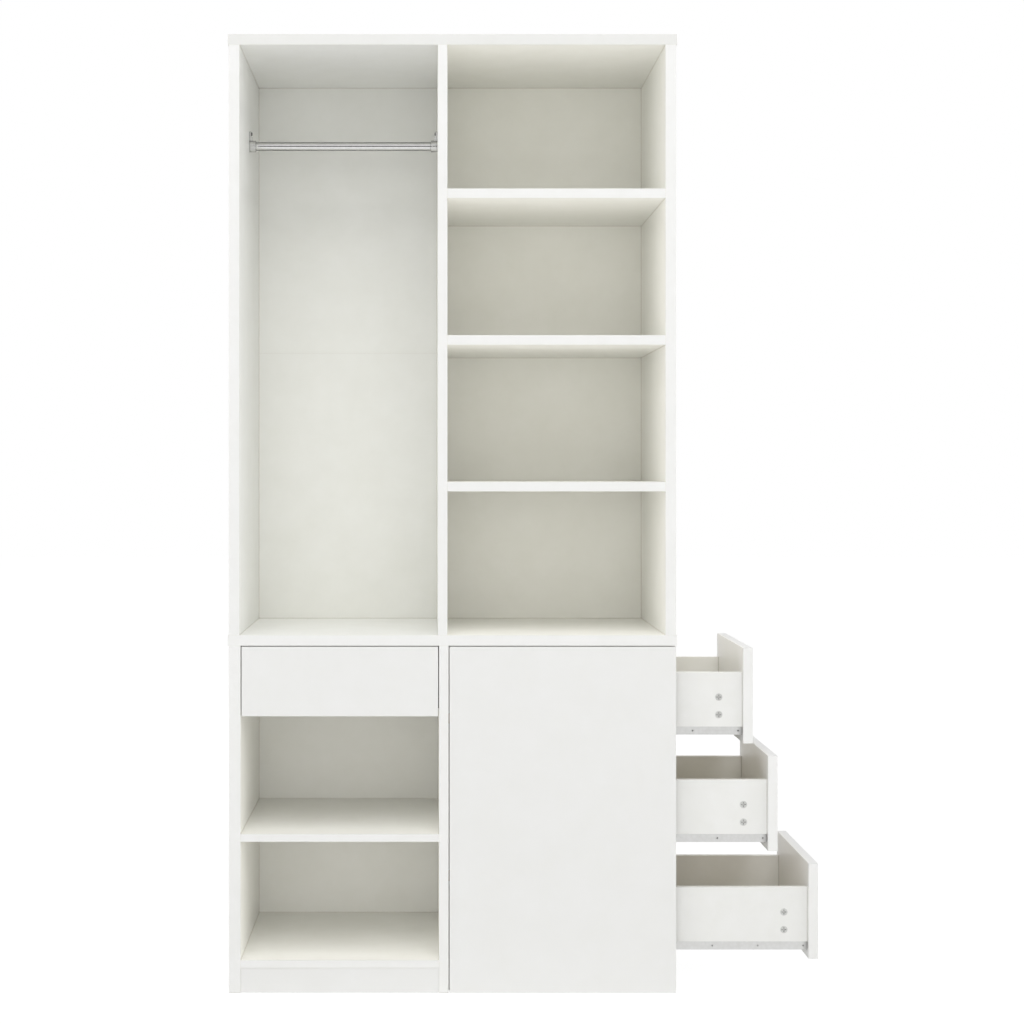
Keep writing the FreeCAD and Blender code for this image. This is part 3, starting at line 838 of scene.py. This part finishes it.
@dataclass
class LowerCase:
    """The niches and the closed bay: uprights, back, floors, plinths and the fixed front panel."""

    ease_mm: float = 0.8
    block_ease_mm: float = 1.0
    glide_ease_mm: float = 0.6
    front_banded: tuple[str, ...] = (
        "lower_left_side", "lower_partition", "niche_shelf", "niche_floor",
    )
    plain: tuple[str, ...] = ("niche_plinth", "bay_plinth")
    band: EdgeBand = field(default_factory=EdgeBand)
    screw: PanHeadScrew = field(default_factory=PanHeadScrew)

    def build(self) -> None:
        """Dress the boards, blocks and glides, and add the edge bands and the runners' screws."""
        for board in self.front_banded:
            dress(board, Finish.MELAMINE, self.ease_mm)
            self.band.build(board, Side.FRONT, Body.CARCASS)
        for board in self.plain:
            dress(board, Finish.FRONT, self.ease_mm)
        for board, finish, sides in (
            ("bay_front_panel", Finish.FRONT, (Side.LEFT, Side.RIGHT, Side.HIGH)),
            ("bay_floor", Finish.MELAMINE, (Side.RIGHT,)),
            ("lower_back_board", Finish.MELAMINE, (Side.RIGHT,)),
            ("bay_rear_wall", Finish.MELAMINE, (Side.RIGHT,)),
        ):
            dress(board, finish, self.ease_mm)
            for side in sides:
                self.band.build(board, side, Body.CARCASS)
        dress("glue_blocks", Finish.PINE, self.block_ease_mm)
        dress("runner_glides", Finish.NYLON, self.glide_ease_mm)
        self.screw.replace("runner_screws", Body.CARCASS, Finish.SCREW, Slot.SCREW)


@dataclass
class HangingRail:
    """The chrome tube, its two sockets and their screws."""

    ease_mm: float = 0.6
    screw: PanHeadScrew = field(default_factory=PanHeadScrew)

    def build(self) -> None:
        """Dress the tube and sockets and stand in for the screws."""
        dress("hanging_rail", Finish.CHROME)
        for socket in ("left_rail_socket", "right_rail_socket"):
            dress(socket, Finish.CAST, self.ease_mm)
        self.screw.replace("rail_socket_screws", Body.CARCASS, Finish.DARK_SCREW, Slot.DARK_SCREW)


@dataclass
class Drawer:
    """One drawer: its banded front, its foil-wrapped box, channels, cams and case runners."""

    body: Body
    front_sides: tuple[Side, ...]
    steel: Finish
    ease_mm: float = 0.6
    band: EdgeBand = field(default_factory=EdgeBand)

    def build(self) -> None:
        """Dress every node of the drawer and band its front and upper edges."""
        name = self.body.value
        dress(f"{name}_front", Finish.FRONT, self.ease_mm)
        for side in self.front_sides:
            self.band.build(f"{name}_front", side, self.body)
        for wall in ("left_side", "right_side", "back"):
            dress(f"{name}_{wall}", Finish.FOIL, self.ease_mm)
            self.band.build(f"{name}_{wall}", Side.HIGH, self.body, Slot.DRAWER)
        dress(f"{name}_bottom", Finish.HARDBOARD)
        dress(f"{name}_channels", self.steel)
        dress(f"{name}_case_runners", self.steel)
        dress(f"{name}_cam_fittings", Finish.CAM)


def sheet(name: str, width: float, depth: float) -> bpy.types.Object:
    """Make a flat sheet about the origin.

    Args:
        name: The sheet's name.
        width: Its size along X in metres.
        depth: Its size along Y in metres.

    Returns:
        The sheet, linked to the scene.
    """
    x, y = width / 2, depth / 2
    mesh = bpy.data.meshes.new(name)
    mesh.from_pydata([(-x, -y, 0), (x, -y, 0), (x, y, 0), (-x, y, 0)], [], [(0, 1, 2, 3)])
    flat = bpy.data.objects.new(name, mesh)
    bpy.context.scene.collection.objects.link(flat)
    return flat


@dataclass(frozen=True)
class Opening:
    """An open bay, by the boards round it, with the level and colour of the lamp that fills it."""

    left: str
    right: str
    below: str
    above: str
    level: float
    colour: str = "#FFF9F7"

    def corners(self) -> tuple[float, float, float, float]:
        """Measure the opening.

        Returns:
            Its left, right, lower and upper limit in metres.
        """
        return (
            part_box(self.left)[1].x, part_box(self.right)[0].x,
            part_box(self.below)[1].z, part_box(self.above)[0].z,
        )


@dataclass(frozen=True)
class Softbox:
    """A soft lamp outside the object, by its place, the point that it faces, its size and power."""

    name: str
    place: Point
    aim: Point
    size: tuple[float, float]
    watts: float
    colour: str = "#FFFFFF"


@dataclass(frozen=True)
class Card:
    """A grey sheet that only metal shows: a painted reflection, a dark line, with its turn about X in
    degrees.
    """

    name: str
    place: Point
    size: tuple[float, float]
    turn: float
    colour: str

    def hang(self) -> None:
        """Hang the card as a painted reflection, out of sight of the camera and of the light on the
        boards.
        """
        card = sheet(self.name, *self.size)
        card.location = self.place
        card.rotation_euler = (math.radians(self.turn), 0, 0)
        card.visible_camera = False
        card.visible_diffuse = False
        card.visible_shadow = False
        # Its grey is seen only in metal, as a painted reflection.
        material, tree = bare_material(f"{self.name}_paper")
        painted_reflection = add_node(tree, "ShaderNodeBsdfDiffuse", {"Color": linear(self.colour)})
        add_node(tree, "ShaderNodeOutputMaterial", {"Surface": painted_reflection.outputs["BSDF"]})
        card.data.materials.append(material)


@dataclass
class Studio:
    """The white floor and surroundings, the soft lamps and the cards that the rail mirrors, as painted
    reflections.
    """

    floor_size: float = 40.0
    floor_colour: str = "#F4F4F2"
    floor_glow: float = 0.88
    floor_strength: float = 1.10
    world_colour: str = "#FFFFFF"
    world_level: float = 0.35
    fill_inset: float = 0.004
    softboxes: tuple[Softbox, ...] = (
        Softbox("top_softbox", (0.0, -3.8, 5.6), aim=(0.0, -0.2, 0.9), size=(5.0, 5.0), watts=170.0),
        Softbox("left_softbox", (-4.6, -3.4, 1.4), aim=(0.0, -0.2, 1.0), size=(3.0, 3.0), watts=55.0),
        Softbox("right_softbox", (4.6, -2.0, 1.6), aim=(0.3, -0.2, 0.7), size=(3.0, 3.0), watts=49.0),
        Softbox("front_softbox", (0.0, -4.6, 1.1), aim=(0.0, -0.2, 1.0), size=(2.4, 2.0), watts=16.5),
        Softbox("rear_softbox", (0.0, 4.4, 1.8), aim=(0.0, 0.2, 1.0), size=(3.0, 3.0), watts=60.0),
    )
    # The cards over and under the rail are painted reflections that give it its dark bands.
    rail_card_gap: float = 0.09
    rail_card_depth: float = 0.20
    rail_card_lead: float = 0.025
    rail_card_trail: float = 0.02
    rail_card_colour: str = "#B8B8B6"
    camera_card: Card = Card(
        "camera_card", place=(-0.42, -5.0, 1.45), size=(1.15, 1.9), turn=90.0, colour="#141414",
    )
    openings: tuple[Opening, ...] = (
        Opening("upper_left_side", "upper_partition", "middle_board", "top_board", 0.86, "#E6E7FF"),
        Opening("upper_partition", "upper_right_side", "upper_shelf", "top_board", 1.34),
        Opening("upper_partition", "upper_right_side", "centre_shelf", "upper_shelf", 1.76),
        Opening("upper_partition", "upper_right_side", "lower_shelf", "centre_shelf", 1.76),
        Opening("upper_partition", "upper_right_side", "middle_board", "lower_shelf", 1.70),
        Opening("lower_left_side", "lower_partition", "niche_shelf", "front_drawer_front", 1.48),
        Opening("lower_left_side", "lower_partition", "niche_floor", "niche_shelf", 1.58),
    )
    drawer_fills: tuple[tuple[Body, float, str], ...] = (
        (Body.UPPER_DRAWER, 1.50, "#FFF4DF"),
        (Body.MIDDLE_DRAWER, 0.67, "#FFE8BE"),
        (Body.LOWER_DRAWER, 0.51, "#FFE2B4"),
    )

    def build(self) -> None:
        """Make the floor, the world, the cards and the lamps."""
        self.lay_floor()
        self.surround()
        self.hang_cards()
        for box in self.softboxes:
            self.lamp(box.name, Vector(box.place), Vector(box.aim), box.size, box.watts, box.colour)
        for number, opening in enumerate(self.openings, start=1):
            self.fill(f"bay_fill_{number}", opening)
        for body, level, colour in self.drawer_fills:
            self.fill_drawer(body, level, colour)

    def fill(self, name: str, opening: Opening) -> None:
        """Fill one bay with soft light from its opening, as a reflector in front of it would.

        Args:
            name: The lamp's name.
            opening: The bay.
        """
        left, right, low, high = opening.corners()
        size = (right - left, high - low)
        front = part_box(opening.left)[0].y + self.fill_inset
        place = Vector(((left + right) / 2, front, (low + high) / 2))
        watts = opening.level * size[0] * size[1]
        self.lamp(name, place, place + Vector((0, 1, 0)), size, watts, opening.colour)

    def fill_drawer(self, body: Body, level: float, colour: str) -> None:
        """Fill the open part of a drawer with soft light from above, which moves with the drawer.

        Args:
            body: The drawer.
            level: The lamp's power for each square metre.
            colour: The lamp's colour, the warmer the more the light has bounced in the drawer.
        """
        low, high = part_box(f"{body.value}_front")
        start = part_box("bay_front_panel")[1].x
        place = Vector(((start + low.x) / 2, (low.y + high.y) / 2, high.z + self.fill_inset))
        size = (low.x - start, high.y - low.y)
        watts = level * size[0] * size[1]
        below = place - Vector((0, 0, 1))
        lamp = self.lamp(f"{body.value}_fill", place, below, size, watts, colour)
        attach(lamp, body.value)

    def seen(self, tree: bpy.types.NodeTree) -> bpy.types.NodeSocket:
        """Tell the rays that show the background from those that light the object.

        Args:
            tree: The tree that needs to know.

        Returns:
            A socket that is one for camera, glossy and transmission rays.
        """
        path = add_node(tree, "ShaderNodeLightPath")
        mirrored = add_node(tree, "ShaderNodeMath", {
            0: path.outputs["Is Glossy Ray"], 1: path.outputs["Is Transmission Ray"],
        }, operation="MAXIMUM")
        return add_node(tree, "ShaderNodeMath", {
            0: path.outputs["Is Camera Ray"], 1: mirrored.outputs["Value"],
        }, operation="MAXIMUM").outputs["Value"]

    def lay_floor(self) -> None:
        """Lay a white floor that keeps a faint shadow of the object."""
        floor = sheet("studio_floor", self.floor_size, self.floor_size)
        material, tree = bare_material("studio_floor_white")
        matt = add_node(tree, "ShaderNodeBsdfDiffuse", {"Color": linear(self.floor_colour)})
        glow = add_node(tree, "ShaderNodeEmission", {"Strength": self.floor_strength})
        share = add_node(
            tree, "ShaderNodeMath", {0: self.seen(tree), 1: self.floor_glow}, operation="MULTIPLY",
        )
        both = add_node(tree, "ShaderNodeMixShader", {
            0: share.outputs["Value"], 1: matt.outputs["BSDF"], 2: glow.outputs["Emission"],
        })
        add_node(tree, "ShaderNodeOutputMaterial", {"Surface": both.outputs["Shader"]})
        floor.data.materials.append(material)

    def hang_cards(self) -> None:
        """Hang the painted reflections: a card behind the camera, and one over and one under the rail.
        """
        self.camera_card.hang()
        low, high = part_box("hanging_rail")
        middle = (low + high) / 2
        size = (high.x - low.x, self.rail_card_depth)
        for name, front, height in (
            ("card_over_rail", -self.rail_card_lead, self.rail_card_gap),
            ("card_under_rail", self.rail_card_trail, -self.rail_card_gap),
        ):
            place = (middle.x, middle.y + front + self.rail_card_depth / 2, middle.z + height)
            Card(name, place, size, turn=0.0, colour=self.rail_card_colour).hang()

    def surround(self) -> None:
        """Light the object softly from all round, and show white behind it."""
        world = bpy.data.worlds.new("studio_surround")
        world.use_nodes = True
        tree = world.node_tree
        tree.nodes.clear()
        colour = linear(self.world_colour)
        light, white = (
            add_node(tree, "ShaderNodeBackground", {"Color": colour, "Strength": level})
            for level in (self.world_level, 1.0)
        )
        both = add_node(tree, "ShaderNodeMixShader", {
            0: self.seen(tree), 1: light.outputs["Background"], 2: white.outputs["Background"],
        })
        add_node(tree, "ShaderNodeOutputWorld", {"Surface": both.outputs["Shader"]})
        bpy.context.scene.world = world

    def lamp(
        self, name: str, place: Vector, aim: Vector, size: tuple[float, float], watts: float,
        colour: str,
    ) -> bpy.types.Object:
        """Hang one soft lamp that lights the object and isn't seen itself.

        Args:
            name: The lamp's name.
            place: Where it hangs.
            aim: The point that it faces.
            size: Its width and height in metres.
            watts: Its power.
            colour: Its colour.

        Returns:
            The lamp.
        """
        data = bpy.data.lights.new(name, "AREA")
        data.shape = "RECTANGLE"
        data.size, data.size_y = size
        data.energy = watts
        data.color = linear(colour)[:3]
        lamp = bpy.data.objects.new(name, data)
        lamp.location = place
        lamp.rotation_euler = (aim - place).to_track_quat("-Z", "Y").to_euler()
        lamp.visible_camera = False
        lamp.visible_glossy = False
        bpy.context.scene.collection.objects.link(lamp)
        return lamp


@dataclass
class PhotoCamera:
    """A camera that looks straight back, so uprights stay upright, with its frame shifted."""

    place: Point = (-0.0264, -4.340, 1.0907)
    lens_mm: float = 69.1
    sensor_mm: float = 36.0
    shift_x: float = 0.0801
    shift_y: float = -0.0410

    def build(self) -> None:
        """Make the camera and use it."""
        data = bpy.data.cameras.new("photo_camera")
        data.lens = self.lens_mm
        data.sensor_width = self.sensor_mm
        data.shift_x = self.shift_x
        data.shift_y = self.shift_y
        camera = bpy.data.objects.new("photo_camera", data)
        camera.location = self.place
        camera.rotation_euler = (math.radians(90), 0, 0)
        bpy.context.scene.collection.objects.link(camera)
        bpy.context.scene.camera = camera


def main() -> None:
    """Build the studio, then each sub-assembly in order."""
    logging.basicConfig(level=logging.INFO, format="%(name)s: %(message)s")
    bpy.context.scene.view_settings.view_transform = "Standard"
    PhotoCamera().build()
    Studio().build()
    UpperCase().build()
    LowerCase().build()
    HangingRail().build()
    across = (Side.LEFT, Side.RIGHT, Side.LOW, Side.HIGH)
    along = (Side.FRONT, Side.REAR, Side.LOW, Side.HIGH)
    Drawer(Body.FRONT_DRAWER, across, Finish.ROLLED_Y).build()
    for body in (Body.UPPER_DRAWER, Body.MIDDLE_DRAWER, Body.LOWER_DRAWER):
        Drawer(body, along, Finish.ROLLED_X).build()


if __name__ == "__main__":
    main()
